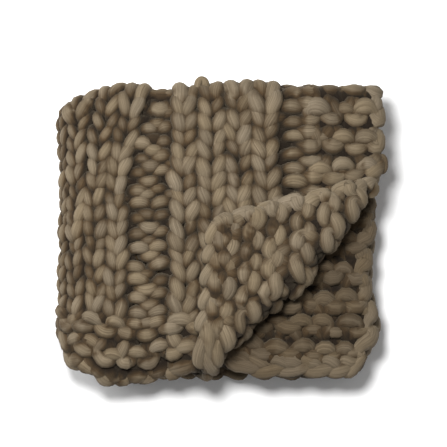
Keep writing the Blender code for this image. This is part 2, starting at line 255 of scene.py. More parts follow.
# The middle of the folded cloth at each place on the flat one
def middleOfCloth(across, up):
    values = stationValues(across)
    outX, outZ, _, _, angle = outerLine(across)
    inX, inZ, _, _, _ = innerLine(across)
    far = values["far"] - folds["cornerSetBack"] * np.sin(angle) ** 2
    slant = folds["cornerSetBack"] * np.abs(np.sin(2 * angle)) / folds["shoulderReach"]
    radius = np.hypot(outX - inX, outZ - inZ) / 2
    arc = math.pi / 2 * radius
    fromFold = halfLength - up
    outer = fromFold > 0
    length = np.abs(fromFold)
    natural = np.minimum(length, bodyLength) / bodyLength * values["body"]
    natural = natural + np.clip(length - bodyLength, 0.0, None) / borderLength * values["border"]
    length = np.where(outer, natural, length * (arc + far - values["innerEnd"]) / halfLength)
    bent = np.clip(length / arc, 0.0, 1.0) * math.pi / 2
    side = np.where(outer, 1.0, -1.0) * np.sin(bent)
    foldX = (outX + inX) / 2 + side * (outX - inX) / 2
    foldZ = (outZ + inZ) / 2 + side * (outZ - inZ) / 2
    y = far + radius * np.hypot(1.0, slant) * np.cos(bent) - np.clip(length - arc, 0.0, None)
    top = outer & (across < topRun) & (length >= arc)
    turnedX, turnedY, rise = turnCorner(outX, y)
    xFlat = np.where(top, turnedX, outX)
    yFlat = np.where(top, turnedY, y)
    rise = np.where(top, rise, 0.0)
    place = np.where(top, folds["rightTop"] - xFlat, across)
    here = stationValues(place)
    lineX, lineZ, facingX, facingZ, _ = outerLine(place)
    yBent, height = bendHem(yFlat, rise, here["bendFrom"], here["bend"])
    laid = outer & (length >= arc)
    x = np.where(laid, lineX + facingX * height, foldX)
    z = np.where(laid, lineZ + facingZ * height, foldZ)
    y = np.where(laid, yBent, y)
    return np.stack([x, y, z], axis=-1)


# The direction that the cloth's face looks in: the cross product of the two tangents, by central differences
def faceDirection(across, up):
    step = 2e-4
    byAcross = middleOfCloth(across + step, up) - middleOfCloth(across - step, up)
    byUp = middleOfCloth(across, up + step) - middleOfCloth(across, up - step)
    out = np.cross(byUp, byAcross)
    return out / np.maximum(np.linalg.norm(out, axis=-1, keepdims=True), 1e-12)


# Settling: the height shrinks by a logistic share near the right and near edges. The wales over the left fold
# lean to the right by sin^2 of their place times an eased reach. Two places of the edge move, and the lower layers
# sway at the right edge, by exp(-(distance / width)^2). Then the CAD frame's origin is taken, from the left end and
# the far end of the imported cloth's box.
def settled(points):
    x, y, z = np.moveaxis(points, -1, 0)
    swaying = easedShare(x, sway["across"]) * (1 - easedShare(z, sway["under"]))
    for place, out, width in rowsOf(sway, "place", "out", "width"):
        x = x + out * swaying * np.exp(-(((y - place) / width) ** 2))
    scale = settling["width"] / settling["steepness"]
    right = 1 / (1 + np.exp(-(x - folds["rightTop"] + settling["width"] / 2) / scale))
    near = 1 / (1 + np.exp((y - settling["nearEnd"] - settling["width"] / 2) / scale))
    z = z * (1 - settling["right"] * right - settling["near"] * near)
    place = np.clip((x - leaning["first"]) / (leaning["last"] - leaning["first"]), 0.0, 1.0)
    reach = leaning["reach"] * easedShare(y, [leaning["from"], leaning["to"]])
    x = x + reach * np.sin(math.pi * place) ** 2
    for place, out, width, above in rowsOf(edgeMoves, "place", "out", "width", "above"):
        close = np.exp(-((x - place[0]) ** 2 + (y - place[1]) ** 2) / width ** 2)
        close = close * easedShare(z, [above, above + edgeMoves["ease"]])
        x = x + out[0] * close
        y = y + out[1] * close
    x = x + frameLow[0] - folds["boxLeft"]
    y = y + frameHigh[1] - folds["boxFar"]
    return np.stack([x, y, z], axis=-1)


# Places at a height over the middle of the folded cloth, and the direction that its face looks in there
def onFoldedCloth(across, up, height):
    facing = faceDirection(across, up)
    return settled(middleOfCloth(across, up) + height[..., None] * facing), facing


# One entry for each wale: its width, start, yarn radius, how far it is sunk, its stitch and whether it stands
# alone. Then one for each course.
waleWidth = np.repeat(panels["width"], panels["wales"])
waleStart = np.concatenate([[0.0], np.cumsum(waleWidth)[:-1]])
waleYarn = np.repeat(panels["yarn"], panels["wales"])
waleSink = np.repeat(panels["sink"], panels["wales"])
waleStitch = np.repeat(panels["stitch"], panels["wales"])
waleAlone = np.repeat(panels["wales"], panels["wales"]) == 1
courseHeight = np.repeat(bands["height"], bands["courses"])
courseStart = np.concatenate([[0.0], np.cumsum(courseHeight)[:-1]])
courseBand = np.repeat(bands["stitch"], bands["courses"])


# The chart: 1 for a stitch that shows as knit on the cloth's face, -1 for purl. Garter changes every course. The
# single purl wales start above the corner that is turned back.
def stitchChart():
    course = np.arange(len(courseStart))[:, None]
    garter = np.where(course % 2 == 0, 1.0, -1.0) * np.ones(len(waleStart))
    panel = np.where(waleStitch == "knit", 1.0, -1.0) * np.ones((len(courseStart), 1))
    isGarter = (waleStitch == "garter")[None, :] | (courseBand == "garter")[:, None]
    isGarter = isGarter | (waleAlone[None, :] & (course < stitchShape["aloneFrom"]))
    return np.where(isGarter, garter, panel)


# Where the hem is drawn in at the near end of the roll: depth exp(-(distance / width)^2), less from the hem inwards
hemTuck = {"across": 0.266, "width": 0.032, "depth": 0.022, "reach": 0.085}


def tucked(across, up):
    near = np.exp(-(((across - hemTuck["across"]) / hemTuck["width"]) ** 2))
    return up + hemTuck["depth"] * near * np.clip(1 - up / hemTuck["reach"], 0.0, 1.0)


# Smooth noise: seeded values at whole numbers, joined by cosine easing
def smoothNoise(place, seed):
    values = np.random.default_rng(seed).uniform(-1, 1, int(np.max(place)) + 3)
    whole = np.floor(place).astype(int)
    part = place - whole
    part = 0.5 - 0.5 * np.cos(math.pi * part)
    return values[whole] * (1 - part) + values[whole + 1] * part


stitchShape = {
    "lean": 0.205,          # how far a leg leans, in widths of a wale, in knit and in garter or purl
    "leanPurl": 0.250,
    "reach": 0.90,          # how far the loop's head and foot reach from its middle, in heights of a course
    "reachPurl": 0.77,
    "depth": 0.0064,        # how far legs, heads and feet lie from the middle of the cloth
    "legInGarter": -0.35,   # how much of that a leg keeps where it passes from one face to the other
    "aloneFrom": 14,        # the course where the single purl wales start, and the one up to which the first one's
    "aloneTo": 24,          # loops stand out on the side of the border
    "pinch": 0.19,          # how much thinner the yarn is where loops cross, and thicker between
    "pinchPurl": 0.5,       # the shares of that for the two waves of purl
    "pinchPurlSlow": 0.6,
    "garterYarn": 1.10,     # how much thicker garter's yarn lies
    "wander": 0.0040,       # how far the yarn strays, how much less in height, and how often in a loop
    "wanderHeight": 0.6,
    "wanderPace": 2,
    "slub": 0.19,           # slow and quick changes of thickness, and how often they come in a loop
    "slubPace": 0.9,
    "lumps": 0.05,
    "lumpPace": 4.3,
    "foldYarn": 0.16,       # how much thicker the yarn lies over the far fold, where the rows are spread
    "foldReach": 0.24,      # how much further the garter and purl loops reach there
    "foldWidth": 0.040,
    "inset": 0.013,         # how far the yarn's middle stays from the side edges, and how far it rounds them
    "round": 0.004,
    "turnSteps": 8,
    "sideEase": 0.020,      # how far from the side edges and the hems the loops are pressed in
    "hemEase": 0.034,
    "sideRoom": 0.85,       # how near they come to them, in yarn radii
    "hemRoom": 1.45,
}


# Keeps a place on the cloth a margin away from both edges: nearer than the ease, what is left falls off
# exponentially, so no two loops end on one line
def keptInside(place, size, margin, ease):
    room = ease - margin
    fromLow = np.where(place < ease, margin + room * np.exp(-(ease - place) / room), place)
    left = size - fromLow
    fromHigh = np.where(left < ease, margin + room * np.exp(-(ease - left) / room), left)
    return size - fromHigh


# The yarn's path on the flat cloth for a run of courses, each a row of loops:
#   across = start of the wale + width (t / 2 pi + lean sin 2t),  up = middle of course - reach cos t,
#   height = depth (leg sin^2 t - foot cos^2 t below, - head cos^2 t above),
#   radius = yarn (1 + pinch (a cos 4t + b cos 2t)), with t from 0 to 2 pi in each loop: thin where loops cross.
# Over the far fold the reach and the radius grow by exp(-(distance / width)^2). Smooth noise then moves the path
# and changes the radius.
# The foot's side comes from the chart's stitches on both sides of it, and the head's from the course above. A leg
# lies on its stitch's side, but for garter, where it passes from one face to the other.
# Every second course runs the other way, and a half turn at the side edge joins each to the next.
def yarnPath(firstCourse, lastCourse, steps, seed):
    chart = stitchChart()
    count, wales = chart.shape
    padded = np.pad(chart, ((0, 0), (1, 1)), mode="edge")
    footLeft = (padded[:, :-2] + chart) / 2
    footRight = (chart + padded[:, 2:]) / 2
    alone = waleAlone & (waleStart < clothWidth / 2)
    sunk = slice(stitchShape["aloneFrom"], stitchShape["aloneTo"])
    footLeft[sunk, alone] = -1
    footRight[sunk, np.roll(alone, -1)] = -1
    headChart = np.vstack([chart[1:], -chart[-1:]])
    t = (np.arange(steps) + 0.5) / steps * 2 * math.pi
    shape = (count, wales, steps)
    tEach = np.broadcast_to(t, shape)
    width = np.broadcast_to(waleWidth[None, :, None], shape)
    tall = np.broadcast_to(courseHeight[:, None, None], shape)
    cos2, sin2 = np.cos(tEach) ** 2, np.sin(tEach) ** 2
    low = np.cos(tEach) > 0
    plain = (chart > 0) & (headChart > 0)
    lean = np.where(plain, stitchShape["lean"], stitchShape["leanPurl"])[:, :, None]
    foot = np.where(tEach < math.pi, footLeft[:, :, None], footRight[:, :, None])
    ends = np.where(low, foot, headChart[:, :, None])
    kept = stitchShape["legInGarter"]
    leg = kept * chart + (1 - kept) * (chart + headChart) / 2
    across = waleStart[None, :, None] + width * (tEach / (2 * math.pi) + lean * np.sin(2 * tEach))
    reach = np.where((chart < 0) & (headChart < 0), stitchShape["reachPurl"], stitchShape["reach"])
    fromFold = (courseStart + courseHeight / 2 - halfLength) / stitchShape["foldWidth"]
    reach = reach + np.where(plain, 0.0, stitchShape["foldReach"]) * np.exp(-fromFold ** 2)[:, None]
    beside = np.pad(reach, ((0, 0), (1, 1)), mode="edge")
    footReachLeft = (beside[:, :-2] + reach)[:, :, None] / 2
    footReachRight = (reach + beside[:, 2:])[:, :, None] / 2
    ownReach = np.where(tEach < math.pi, footReachLeft, footReachRight)
    ownReach = np.where(low, ownReach, reach[:, :, None])
    up = courseStart[:, None, None] + tall / 2 - ownReach * tall * np.cos(tEach)
    height = stitchShape["depth"] * (leg[:, :, None] * sin2 - ends * cos2) - waleSink[None, :, None]
    isGarter = chart != headChart
    thick = np.where(isGarter, stitchShape["garterYarn"], 1.0)[:, :, None]
    quick = np.where(isGarter, 1.0, np.where(plain, 0.0, stitchShape["pinchPurl"]))[:, :, None]
    slow = np.where(isGarter, 0.0, np.where(plain, -1.0, stitchShape["pinchPurlSlow"]))[:, :, None]
    waves = stitchShape["pinch"] * (quick * np.cos(4 * tEach) + slow * np.cos(2 * tEach))
    radius = thick * waleYarn[None, :, None] * (1 + waves)
    inset = stitchShape["inset"]
    across = np.interp(across, [0.0, sideBand, clothWidth - sideBand, clothWidth],
                       [inset, sideBand, clothWidth - sideBand, clothWidth - inset])
    flat = [value.reshape(count, wales * steps) for value in (across, up, height, radius)]
    rows = []
    turnAt = np.linspace(0, math.pi, stitchShape["turnSteps"] + 1)[1:-1]
    for course in range(firstCourse, lastCourse + 1):
        row = [value[course] for value in flat]
        if course % 2:
            row = [value[::-1] for value in row]
        rows.append(np.stack(row))
        if course < lastCourse:
            atRight = course % 2 == 1
            edge = inset if atRight else clothWidth - inset
            outwards = -1.0 if atRight else 1.0
            lower = rows[-1][1][-1]
            upper = lower + courseHeight[course]
            bulge = edge + outwards * stitchShape["round"] * np.sin(turnAt)
            rise = (lower + upper) / 2 - (upper - lower) / 2 * np.cos(turnAt)
            level = rows[-1][2][-1] * np.cos(turnAt)
            rows.append(np.stack([bulge, rise, level, np.full_like(turnAt, rows[-1][3][-1])]))
    across, up, height, radius = np.concatenate(rows, axis=1)
    place = np.arange(len(across)) / steps
    wander, pace = stitchShape["wander"], stitchShape["wanderPace"]
    across = across + wander * smoothNoise(place * pace, seed)
    up = up + wander * smoothNoise(place * pace, seed + 1)
    height = height + stitchShape["wanderHeight"] * wander * smoothNoise(place * pace, seed + 2)
    radius = radius * (1 + stitchShape["slub"] * smoothNoise(place * stitchShape["slubPace"], seed + 3))
    radius = radius * (1 + stitchShape["lumps"] * smoothNoise(place * stitchShape["lumpPace"], seed + 4))
    overFold = np.exp(-(((up - halfLength) / stitchShape["foldWidth"]) ** 2))
    radius = radius * (1 + stitchShape["foldYarn"] * overFold)
    across = keptInside(across, clothWidth, stitchShape["sideRoom"] * radius, stitchShape["sideEase"])
    up = keptInside(up, clothLength, stitchShape["hemRoom"] * radius, stitchShape["hemEase"])
    return across, tucked(across, up), height, radius


# How loops press on each other, and how they are painted darker where they lie in each other's shade
pressAndPaintedShade = {
    "cube": 0.0025,
    "margin": 8,                       # cubes left free round the yarn
    "inside": [0.002, 0.005, 0.008],   # where the yarn is counted, under its surface
    "outside": [0.0025, 0.0055],       # where the count is read, over its surface
    "seen": [0.40, 1.00],              # the count in the open, and where loops press on each other
    "depth": 0.0030,                   # how far they press each other in
    "shaded": [0.46, 0.96],            # the count from which the wool is painted darker, as shade, and where it is painted darkest
    "free": [0.08, 0.30],              # the count at the free edges, where no painted shade darkens the wool
    "garter": 0.0014,                  # how much further out garter counts for the painted shade, and how softly that ends
    "garterEase": 0.01,
    "outermost": [0.015, 0.026],       # the distance from the cloth's edges within which the yarn lies open, without painted shade
    "openRadii": 4,                    # how much further out the yarn counts there, in yarn radii
    "raised": [0.50, 1.10],            # the share of the cloth's half thickness where the yarn is painted darkest, and where it is left unshaded
}
# The shade under the turned-back corner: how strong, how far it reaches, the heights where it is full and where it
# ends, and how softly it starts at the turning line
cornerShade = {"strength": 0.38, "reach": 0.140, "under": [0.100, 0.116], "start": 0.03}


# A closed tube: rings of points at radius r round the path, in the plane square to it, with fan caps.
# The ring's first direction is the tangent crossed with the cloth's direction, and the second is square to both.
# The painted-shade attribute starts as each point's distance from the middle of the cloth, eased between two shares
# of the most that it can be, so that yarn deep in the cloth is painted darker. No point lies under the surface that
# the throw rests on.
def yarnTube(name, points, facing, level, radius, sides, startLength):
    count = len(points)
    tangent = np.gradient(points, axis=0)
    tangent = tangent / np.maximum(np.linalg.norm(tangent, axis=1, keepdims=True), 1e-12)
    across = np.cross(tangent, facing)
    across = across / np.maximum(np.linalg.norm(across, axis=1, keepdims=True), 1e-12)
    upward = np.cross(across, tangent)
    turnBy = np.arange(sides) / sides * 2 * math.pi
    ring = np.cos(turnBy)[None, :, None] * across[:, None, :]
    ring = ring + np.sin(turnBy)[None, :, None] * upward[:, None, :]
    verts = points[:, None, :] + radius[:, None, None] * ring
    raised = np.abs(level[:, None] + radius[:, None] * np.sum(ring * facing[:, None, :], axis=2))
    openForPaintedShade = easedShare(raised / (stitchShape["depth"] + radius[:, None]), pressAndPaintedShade["raised"])
    openForPaintedShade = np.concatenate([openForPaintedShade.ravel(), [0.0, 0.0]])
    verts[..., 2] = np.maximum(verts[..., 2], 0.0)
    verts = np.concatenate([verts.reshape(-1, 3), points[:1], points[-1:]])
    ringIndex = np.arange(count - 1)[:, None] * sides
    corner = np.arange(sides)[None, :]
    after = (corner + 1) % sides
    nextRing = ringIndex + sides
    quads = [ringIndex + corner, ringIndex + after, nextRing + after, nextRing + corner]
    quads = np.stack(quads, axis=-1).reshape(-1, 4)
    flatCorner = np.arange(sides)
    flatAfter = (flatCorner + 1) % sides
    firstCap = np.stack([np.full(sides, count * sides), flatAfter, flatCorner], axis=-1)
    lastRing = (count - 1) * sides
    lastCap = np.stack([np.full(sides, count * sides + 1), lastRing + flatCorner, lastRing + flatAfter], axis=-1)
    mesh = bpy.data.meshes.new(name)
    mesh.from_pydata(verts.tolist(), [], quads.tolist() + firstCap.tolist() + lastCap.tolist())
    step = np.linalg.norm(np.diff(points, axis=0), axis=1)
    length = startLength + np.concatenate([[0.0], np.cumsum(step)])
    ringOf = np.repeat(np.arange(count - 1), sides)
    lengthAt = np.stack([length[ringOf], length[ringOf], length[ringOf + 1], length[ringOf + 1]], axis=-1)
    turnOf = np.tile(turnBy, count - 1)
    nextTurn = turnOf + turnBy[1]
    turnAt = np.stack([turnOf, nextTurn, nextTurn, turnOf], axis=-1)
    along = np.concatenate([lengthAt.ravel(), np.full(3 * sides, length[0]), np.full(3 * sides, length[-1])])
    around = np.concatenate([turnAt.ravel(), np.zeros(6 * sides)])
    layer = mesh.uv_layers.new(name="yarn")
    layer.data.foreach_set("uv", np.stack([along, around], axis=-1).astype(np.float32).ravel())
    mesh.attributes.new("paintedShadeOpenness", "FLOAT", "POINT").data.foreach_set("value", openForPaintedShade.astype(np.float32))
    mesh.shade_smooth()
    mesh.update()
    obj = bpy.data.objects.new(name, mesh)
    bpy.context.scene.collection.objects.link(obj)
    return obj, length[-1]


# sRGB hex text to linear red, green, blue and alpha
def linearColour(hexText):
    parts = [int(hexText[i:i + 2], 16) / 255 for i in (1, 3, 5)]
    return [p / 12.92 if p <= 0.04045 else ((p + 0.055) / 1.055) ** 2.4 for p in parts] + [1.0]


# Adds one node, sets its properties and the inputs given by name or number: a value, or a socket to link from
def addNode(tree, kind, inputs=None, **settings):
    node = tree.nodes.new(kind)
    for name, value in settings.items():
        setattr(node, name, value)
    for key, value in (inputs or {}).items():
        socket = node.inputs[key]
        if isinstance(value, bpy.types.NodeSocket):
            tree.links.new(value, socket)
        else:
            socket.default_value = value
    return node


woolAndPaintedShadeLook = {
    "dark": "#493F32",         # the wool's own colour, and where on the noise its ends lie
    "middle": "#615748",
    "light": "#776C5D",
    "darkAt": 0.37,
    "lightAt": 0.63,
    "fibreAcross": 22.0,       # the yarn's radius in the noise, so 138 streaks go round its 57 mm
    "fibreAlong": 34.0,        # streaks in a metre of yarn
    "fibreRoughness": 0.62,
    "strands": 0.28,           # bundles of fibres: how much coarser they are
    "slow": 7.0,               # changes of shade in a metre
    "mix": [0.62, 0.26, 0.12],   # the shares of fibres, strands and slow changes
    "twist": 9.0,              # radians in a metre
    "bump": 0.0010,            # metres
    "bumpStrength": 0.7,
    "cool": "#F8F7F5",         # the cast of the wool changes slowly along the yarn
    "warm": "#FDF8EC",
    "coolAt": 0.36,
    "warmAt": 0.64,
    "casts": 11.0,             # changes of cast in a metre
    "hollowShade": "#382813",       # the painted shade between stitches, multiplied over the wool's own colour, from closed to open
    "slopeShade": "#988770",
    "slopeShadeAt": 0.40,
    "roughness": 0.92,
    "specular": 0.18,
    "sheen": 0.18,
    "sheenRoughness": 0.6,
    "sheenTint": "#C9B89C",
}


# Thick single-ply wool roving, soft and matt: fibres run along the yarn with a slight twist, in lighter and darker
# streaks. Real fibres are about 0.03 mm thick and too fine to show, so the streaks are 0.4 mm wide and 29 mm long.
def woolAndPaintedShadeMaterial():
    material = bpy.data.materials.new("woolRovingWithPaintedShade")
    material.use_nodes = True
    tree = material.node_tree
    tree.nodes.clear()
    uv = addNode(tree, "ShaderNodeUVMap", uv_map="yarn")
    split = addNode(tree, "ShaderNodeSeparateXYZ", {0: uv.outputs[0]})
    along = split.outputs[0]
    twisted = addNode(tree, "ShaderNodeMath", {0: along, 1: woolAndPaintedShadeLook["twist"], 2: split.outputs[1]},
                      operation="MULTIPLY_ADD").outputs[0]
    cosine = addNode(tree, "ShaderNodeMath", {0: twisted}, operation="COSINE").outputs[0]
    sine = addNode(tree, "ShaderNodeMath", {0: twisted}, operation="SINE").outputs[0]
    across = woolAndPaintedShadeLook["fibreAcross"]
    cosineWide = addNode(tree, "ShaderNodeMath", {0: cosine, 1: across}, operation="MULTIPLY").outputs[0]
    sineWide = addNode(tree, "ShaderNodeMath", {0: sine, 1: across}, operation="MULTIPLY").outputs[0]
    alongScaled = addNode(tree, "ShaderNodeMath", {0: along, 1: woolAndPaintedShadeLook["fibreAlong"]},
                          operation="MULTIPLY").outputs[0]
    place = addNode(tree, "ShaderNodeCombineXYZ", {0: cosineWide, 1: sineWide, 2: alongScaled}).outputs[0]
    fibres = addNode(tree, "ShaderNodeTexNoise",
                     {"Vector": place, "Scale": 1.0, "Detail": 5.0, "Roughness": woolAndPaintedShadeLook["fibreRoughness"]})
    strands = addNode(tree, "ShaderNodeTexNoise",
                      {"Vector": place, "Scale": woolAndPaintedShadeLook["strands"], "Detail": 2.0, "Roughness": 0.5})
    slow = addNode(tree, "ShaderNodeTexNoise", {"W": along, "Scale": woolAndPaintedShadeLook["slow"], "Detail": 2.0},
                   noise_dimensions="1D")
    mixed = 0.0
    for noise, share in zip((fibres, strands, slow), woolAndPaintedShadeLook["mix"]):
        mixed = addNode(tree, "ShaderNodeMath", {0: noise.outputs[0], 1: share, 2: mixed},
                        operation="MULTIPLY_ADD").outputs[0]
    ramp = addNode(tree, "ShaderNodeValToRGB", {0: mixed})
    ramp.color_ramp.elements[0].position = woolAndPaintedShadeLook["darkAt"]
    ramp.color_ramp.elements[0].color = linearColour(woolAndPaintedShadeLook["dark"])
    ramp.color_ramp.elements[1].position = woolAndPaintedShadeLook["lightAt"]
    ramp.color_ramp.elements[1].color = linearColour(woolAndPaintedShadeLook["light"])
    ramp.color_ramp.elements.new(0.5).color = linearColour(woolAndPaintedShadeLook["middle"])
    cast = addNode(tree, "ShaderNodeTexNoise", {"W": along, "Scale": woolAndPaintedShadeLook["casts"], "Detail": 1.0},
                   noise_dimensions="1D")
    casts = addNode(tree, "ShaderNodeValToRGB", {0: cast.outputs[0]})
    casts.color_ramp.elements[0].position = woolAndPaintedShadeLook["coolAt"]
    casts.color_ramp.elements[0].color = linearColour(woolAndPaintedShadeLook["cool"])
    casts.color_ramp.elements[1].position = woolAndPaintedShadeLook["warmAt"]
    casts.color_ramp.elements[1].color = linearColour(woolAndPaintedShadeLook["warm"])
    # Painted shade: the colour is multiplied by a ramp from dark brown in the hollows between stitches, through a
    # mid brown, to white in the open, read from the painted-shade attribute; it also carries the painted shadow
    # under the turned-back corner
    paintedShadeInput = addNode(tree, "ShaderNodeAttribute", attribute_name="paintedShadeOpenness").outputs["Fac"]
    paintedShadeRamp = addNode(tree, "ShaderNodeValToRGB", {0: paintedShadeInput})
    paintedShadeRamp.color_ramp.elements[0].color = linearColour(woolAndPaintedShadeLook["hollowShade"])
    paintedShadeRamp.color_ramp.elements[1].color = (1.0, 1.0, 1.0, 1.0)
    paintedShadeRamp.color_ramp.elements.new(woolAndPaintedShadeLook["slopeShadeAt"]).color = linearColour(woolAndPaintedShadeLook["slopeShade"])
    tinted = addNode(tree, "ShaderNodeMix", {"Factor": 1.0, 6: ramp.outputs[0], 7: casts.outputs[0]},
                     data_type="RGBA", blend_type="MULTIPLY")
    shaded = addNode(tree, "ShaderNodeMix", {"Factor": 1.0, 6: tinted.outputs[2], 7: paintedShadeRamp.outputs[0]},
                     data_type="RGBA", blend_type="MULTIPLY")
    bump = addNode(tree, "ShaderNodeBump", {
        "Height": fibres.outputs[0],
        "Strength": woolAndPaintedShadeLook["bumpStrength"],
        "Distance": woolAndPaintedShadeLook["bump"],
    })
    shader = addNode(tree, "ShaderNodeBsdfPrincipled", {
        "Base Color": shaded.outputs[2],
        "Roughness": woolAndPaintedShadeLook["roughness"],
        "Specular IOR Level": woolAndPaintedShadeLook["specular"],
        "Sheen Weight": woolAndPaintedShadeLook["sheen"],
        "Sheen Roughness": woolAndPaintedShadeLook["sheenRoughness"],
        "Sheen Tint": linearColour(woolAndPaintedShadeLook["sheenTint"]),
        "Normal": bump.outputs[0],
    })
    addNode(tree, "ShaderNodeOutputMaterial", {0: shader.outputs[0]})
    return material


# Painted shadow: the colours of the cloth's middle are dark browns that stand for the shade between the stitches
insideShadowLook = {"dark": "#1E170F", "light": "#332819", "scale": 420.0, "roughness": 0.98, "specular": 0.1}


# The inside of the knitting, in shadow between the stitches, painted dark as that shadow: the same wool, matt and
# darker, in spots of 2 mm
def insideShadowMaterial():
    material = bpy.data.materials.new("woolInsidePaintedShadow")
    material.use_nodes = True
    tree = material.node_tree
    tree.nodes.clear()
    coords = addNode(tree, "ShaderNodeTexCoord")
    noise = addNode(tree, "ShaderNodeTexNoise",
                    {"Vector": coords.outputs["Object"], "Scale": insideShadowLook["scale"], "Detail": 3.0})
    ramp = addNode(tree, "ShaderNodeValToRGB", {0: noise.outputs[0]})
    ramp.color_ramp.elements[0].color = linearColour(insideShadowLook["dark"])
    ramp.color_ramp.elements[1].color = linearColour(insideShadowLook["light"])
    shader = addNode(tree, "ShaderNodeBsdfPrincipled", {
        "Base Color": ramp.outputs[0],
        "Roughness": insideShadowLook["roughness"],
        "Specular IOR Level": insideShadowLook["specular"],
    })
    addNode(tree, "ShaderNodeOutputMaterial", {0: shader.outputs[0]})
    return material


wool = woolAndPaintedShadeMaterial()
insideShadow = insideShadowMaterial()

# The yarn, in runs of courses. The inner side is hidden but for its corner, so its tube is coarser.
yarnRuns = {
    "name": ["yarn_outer_hem", "yarn_outer_body", "yarn_outer_far", "yarn_inner_far", "yarn_inner_hem"],
    "first": [0, 7, 14, 21, 31],
    "last": [6, 13, 20, 30, 41],
    "steps": [30, 30, 30, 18, 18],
    "sides": [12, 12, 12, 8, 8],
    "seed": [100, 107, 114, 121, 131],
}
yarnPieces = []
yarnLength = 0.0


# How far the yarn lies from the middle of its cloth, for the painted shade between stitches: the outermost loops
# lie open all round, and in garter the rows between the ridges are packed tight, so they count as nearly as far out
def levelForPaintedShade(across, up, height, radius):
    fromEdge = np.minimum(np.minimum(across, clothWidth - across), np.minimum(up, clothLength - up))
    outermost = 1 - easedShare(fromEdge, pressAndPaintedShade["outermost"])
    level = height + np.interp(across, waleStart + waleWidth / 2, waleSink)
    ease = pressAndPaintedShade["garterEase"]
    inPanels = easedShare(np.minimum(across, clothWidth - across), [sideBand - ease, sideBand + ease])
    inPanels = inPanels * easedShare(np.minimum(up, clothLength - up), [borderLength - ease, borderLength + ease])
    outwards = pressAndPaintedShade["openRadii"] * radius * outermost + pressAndPaintedShade["garter"] * (1 - inPanels)
    return level + np.where(level < 0, -1.0, 1.0) * outwards


for name, first, last, steps, sides, seed in rowsOf(yarnRuns, "name", "first", "last", "steps", "sides", "seed"):
    across, up, height, radius = yarnPath(first, last, steps, seed)
    points, facing = onFoldedCloth(across, up, height)
    level = levelForPaintedShade(across, up, height, radius)
    piece, yarnLength = yarnTube(name, points, facing, level, radius, sides, yarnLength)
    piece.data.materials.append(wool)
    yarnPieces.append(piece)
    print(name, len(piece.data.polygons), "faces, yarn so far", round(yarnLength, 1), "m")

# The cast-on and cast-off chains, which lie along the hems on the cloth's back
fromHem = 0.0128
edgeChain = {
    "name": ["yarn_hem_chain", "yarn_inner_hem_chain"],
    "up": [fromHem, clothLength - fromHem],
    "seed": [300, 320],
    "spread": 0.0070,    # how far the links reach towards the hem and away from it
    "slant": 0.5,
    "pinch": 0.20,
    "reach": 0.60,       # how far a link reaches over the next, in widths of a wale
    "level": 0.0080,     # how far behind the cloth's middle the chain lies, and how deep its links are
    "depth": 0.0038,
    "radius": 0.0074,
    "steps": 24,
    "sides": 10,
    "wander": 0.0016,
    "slub": 0.13,
    "slubPace": 1.3,
}


# A chain of links along a hem, one for each wale, with t from 0 to 2 pi in each:
#   across = start of the wale + width t / 2 pi - reach width cos t,
#   up = place of the chain + spread (sin t - slant sin 2t),  height = - level - depth (sin^2 t - cos^2 t),
#   radius = yarn (1 - pinch cos 2t). Smooth noise then moves the path and changes the radius.
def chainPath(up, seed):
    wales = len(waleWidth)
    t = (np.arange(wales * edgeChain["steps"]) + 0.5) / edgeChain["steps"] * 2 * math.pi
    place = t / (2 * math.pi)
    lines = np.append(waleStart, clothWidth)
    lines[0], lines[-1] = stitchShape["inset"], clothWidth - stitchShape["inset"]
    width = waleWidth[np.floor(place).astype(int)]
    wander, pace = edgeChain["wander"], stitchShape["wanderPace"]
    across = np.interp(place, np.arange(wales + 1), lines) - edgeChain["reach"] * width * np.cos(t)
    across = across + wander * smoothNoise(place * pace, seed)
    height = -edgeChain["level"] - edgeChain["depth"] * (np.sin(t) ** 2 - np.cos(t) ** 2)
    height = height + wander * smoothNoise(place * pace, seed + 1)
    up = up + edgeChain["spread"] * (np.sin(t) - edgeChain["slant"] * np.sin(2 * t))
    up = up + wander * smoothNoise(place * pace, seed + 2)
    radius = edgeChain["radius"] * (1 - edgeChain["pinch"] * np.cos(2 * t))
    radius = radius * (1 + edgeChain["slub"] * smoothNoise(place * edgeChain["slubPace"], seed + 3))
    across = keptInside(across, clothWidth, stitchShape["sideRoom"] * radius, stitchShape["sideEase"])
    return across, tucked(across, up), height, radius


for name, up, seed in rowsOf(edgeChain, "name", "up", "seed"):
    across, up, height, radius = chainPath(up, seed)
    points, facing = onFoldedCloth(across, up, height)
    piece, yarnLength = yarnTube(name, points, facing, height, radius, edgeChain["sides"], yarnLength)
    piece.data.materials.append(wool)
    yarnPieces.append(piece)
print("hem chains, yarn so far", round(yarnLength, 1), "m")

# Two slack places: a small loop that stands out of the far fold, and a woven-in end at the right edge
slackYarn = {
    "name": ["yarn_far_loop", "yarn_side_end"],
    "middle": [(-0.0335, 0.2130, 0.100), (0.2215, 0.1030, 0.093)],
    "reach": [(0.0064, 0.0, 0.0), (0.0, 0.0110, 0.0)],
    "rise": [(0.0, 0.0122, 0.004), (0.0075, 0.0, 0.002)],
    "radius": [0.0047, 0.0042],
    "beyond": 0.35,      # how far the ends go on into the cloth, in radians
    "points": 22,
    "sides": 10,
    "lump": 0.15,        # how much its thickness changes
}


# Half an ellipse that stands on a segment: middle - reach cos t + rise sin t, with t from 0 to pi and a little
# beyond. The radius changes by lump sin 3t.
def slackPath(middle, reach, rise, radius):
    t = np.linspace(-slackYarn["beyond"], math.pi + slackYarn["beyond"], slackYarn["points"])[:, None]
    points = np.array(middle) - np.array(reach) * np.cos(t) + np.array(rise) * np.sin(t)
    radii = radius * (1 + slackYarn["lump"] * np.sin(3 * t[:, 0]))
    return points, np.tile((0.0, 0.0, 1.0), (len(points), 1)), radii


